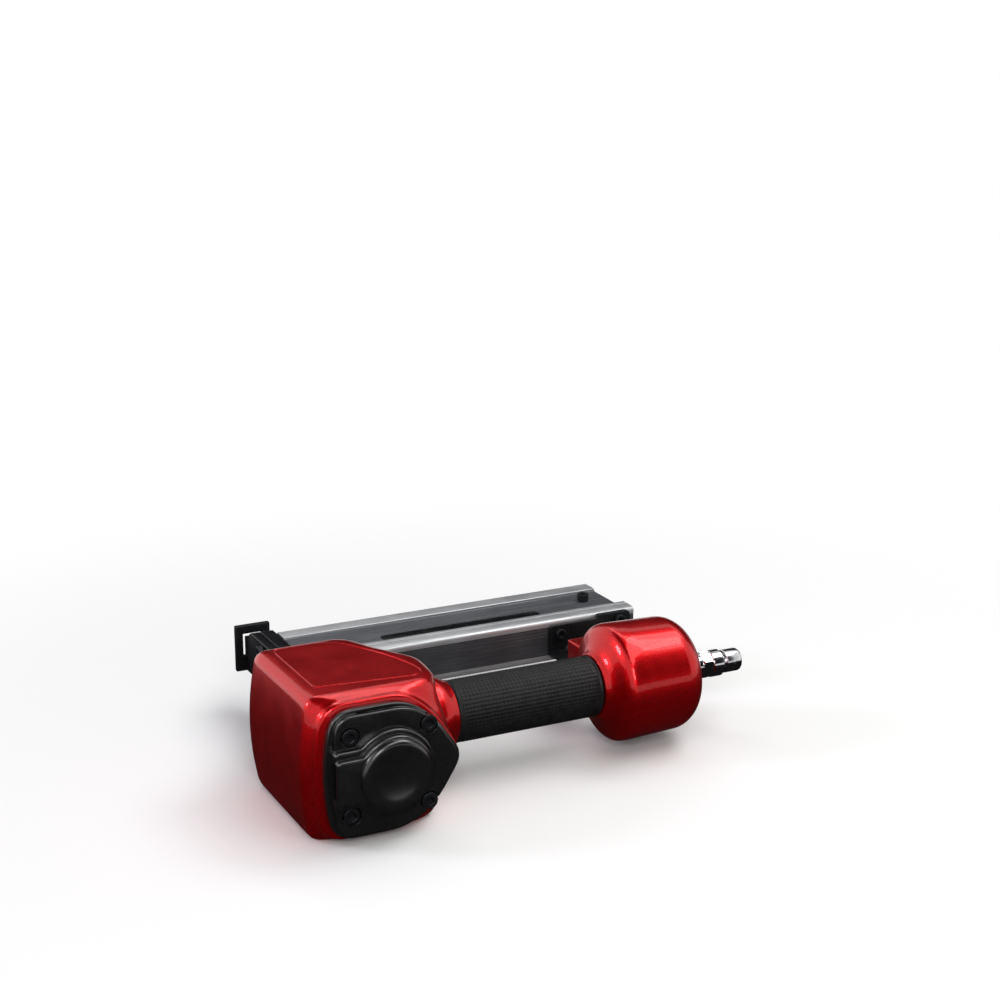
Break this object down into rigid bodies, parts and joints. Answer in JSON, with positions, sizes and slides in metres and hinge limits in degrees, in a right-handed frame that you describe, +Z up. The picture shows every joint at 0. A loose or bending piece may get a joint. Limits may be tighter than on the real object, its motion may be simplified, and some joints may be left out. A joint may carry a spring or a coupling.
{
  "type": "pneumatic brad nailer",
  "caption": "Air-powered brad nailer lying on its side: cast head with domed cylinder cap, gripped handle, air tank with plug, and a sliding straight magazine below.",
  "frame": {"origin": "on the head's flat resting side, below the crossing of the driving line and the handle's axis", "axes": "+X along the handle from the head to the air plug, +Y along the driving line from the cylinder cap to the nose, +Z up from the side that the tool lies on"},
  "size_m": [0.2732, 0.2112, 0.074],
  "materials": {
    "red_paint": "candy-red clear-coated paint on a light alloy casting",
    "black_paint": "satin black paint on a light alloy casting",
    "black_steel": "black-oxide steel with a thin film of oil",
    "bare_steel": "ground steel",
    "plated_steel": "bright nickel plating on turned steel",
    "bare_aluminium": "machined aluminium",
    "magazine_aluminium": "satin anodised aluminium extrusion",
    "grip_rubber": "black rubber with fine rows of dimples",
    "seal_rubber": "smooth black rubber",
    "gasket_fibre": "pressed fibre sheet"
  },
  "bodies": {
    "housing": {"head_handle_casting": "red_paint", "air_tank": "red_paint", "tank_seal_ring": "seal_rubber", "air_plug": "plated_steel", "grip_sleeve": "grip_rubber", "cylinder_cap": "black_paint", "cap_gasket": "gasket_fibre", "cap_bolt_1": "black_steel", "cap_bolt_2": "black_steel", "cap_bolt_3": "black_steel", "cap_bolt_4": "black_steel", "cylinder_sleeve": "bare_aluminium", "sleeve_seal_ring": "seal_rubber", "bumper": "seal_rubber", "nose_body": "black_steel", "nose_plate": "black_steel", "nose_bolt_1": "black_steel", "nose_bolt_2": "black_steel", "nose_bolt_3": "black_steel", "nose_bolt_4": "black_steel", "plate_screw_1": "black_steel", "plate_screw_2": "black_steel", "plate_screw_3": "black_steel", "plate_screw_4": "black_steel", "magazine_rail": "magazine_aluminium", "rear_bracket": "black_steel", "rail_screw_1": "black_steel", "rail_screw_2": "black_steel", "lug_bolt_1": "black_steel", "lug_bolt_2": "black_steel", "trigger_pin": "bare_steel", "trigger_valve_body": "bare_aluminium", "head_valve_spring": "bare_steel", "valve_spring": "bare_steel", "safety_spring": "bare_steel"},
    "trigger": {"trigger": "black_steel", "lever_pin": "bare_steel"},
    "trigger_lever": {"trigger_lever": "bare_steel"},
    "contact_arm": {"safety_arm": "black_steel"},
    "valve_stem": {"valve_stem": "bare_steel", "valve_stem_seal_ring": "seal_rubber"},
    "drive_piston": {"drive_piston": "bare_aluminium", "piston_seal_ring": "seal_rubber", "driver_blade": "bare_steel"},
    "head_valve": {"head_valve_piston": "bare_aluminium", "head_valve_seal_ring": "seal_rubber"},
    "magazine_cover": {"magazine_cover": "magazine_aluminium", "magazine_end_block": "black_paint", "end_block_screw_1": "black_steel", "end_block_screw_2": "black_steel", "pusher_rod": "bare_steel", "latch_pin": "bare_steel", "pusher_spring": "bare_steel", "latch_spring": "bare_steel"},
    "pusher": {"magazine_pusher": "bare_steel"},
    "latch": {"latch_lever": "black_steel"}
  },
  "joints": [
    {"name": "trigger_pull", "type": "hinge", "parent": "housing", "child": "trigger", "pos_m": [0.035, 0.021, 0.037], "axis": [0, 0, -1], "range_deg": [0, 10], "stiffness_Nm_per_rad": 0.15, "springref_deg": -9.17},
    {"name": "lever_swing", "type": "hinge", "parent": "trigger", "child": "trigger_lever", "pos_m": [0.058, 0.027, 0.037], "axis": [0, 0, 1], "range_deg": [0, 25]},
    {"name": "contact_arm_push", "type": "slide", "parent": "housing", "child": "contact_arm", "axis": [0, -1, 0], "range_m": [0, 0.007], "stiffness_N_per_m": 600, "springref_m": -0.004, "deforming": ["safety_spring"]},
    {"name": "valve_stem_push", "type": "slide", "parent": "housing", "child": "valve_stem", "axis": [0, -1, 0], "range_m": [0, 0.002], "deforming": ["valve_spring"]},
    {"name": "piston_stroke", "type": "slide", "parent": "housing", "child": "drive_piston", "axis": [0, 1, 0], "range_m": [0, 0.055]},
    {"name": "head_valve_lift", "type": "slide", "parent": "housing", "child": "head_valve", "axis": [0, -1, 0], "range_m": [0, 0.004], "stiffness_N_per_m": 1500, "springref_m": -0.003, "deforming": ["head_valve_spring"]},
    {"name": "magazine_slide", "type": "slide", "parent": "housing", "child": "magazine_cover", "axis": [1, 0, 0], "range_m": [0, 0.13]},
    {"name": "pusher_slide", "type": "slide", "parent": "magazine_cover", "child": "pusher", "axis": [1, 0, 0], "range_m": [0, 0.12], "stiffness_N_per_m": 30, "springref_m": -0.1, "deforming": ["pusher_spring"]},
    {"name": "latch_swing", "type": "hinge", "parent": "magazine_cover", "child": "latch", "pos_m": [0.2135, 0.08, 0.0284], "axis": [0, 0, 1], "range_deg": [0, 10], "stiffness_Nm_per_rad": 0.3, "springref_deg": -5.73, "deforming": ["latch_spring"]}
  ],
  "couplings": [
    {"joint": "lever_swing", "follows": "contact_arm_push", "rad_per_m": 62.33},
    {"joint": "valve_stem_push", "follows": "trigger_pull", "m_per_rad": 0.01145}
  ]
}
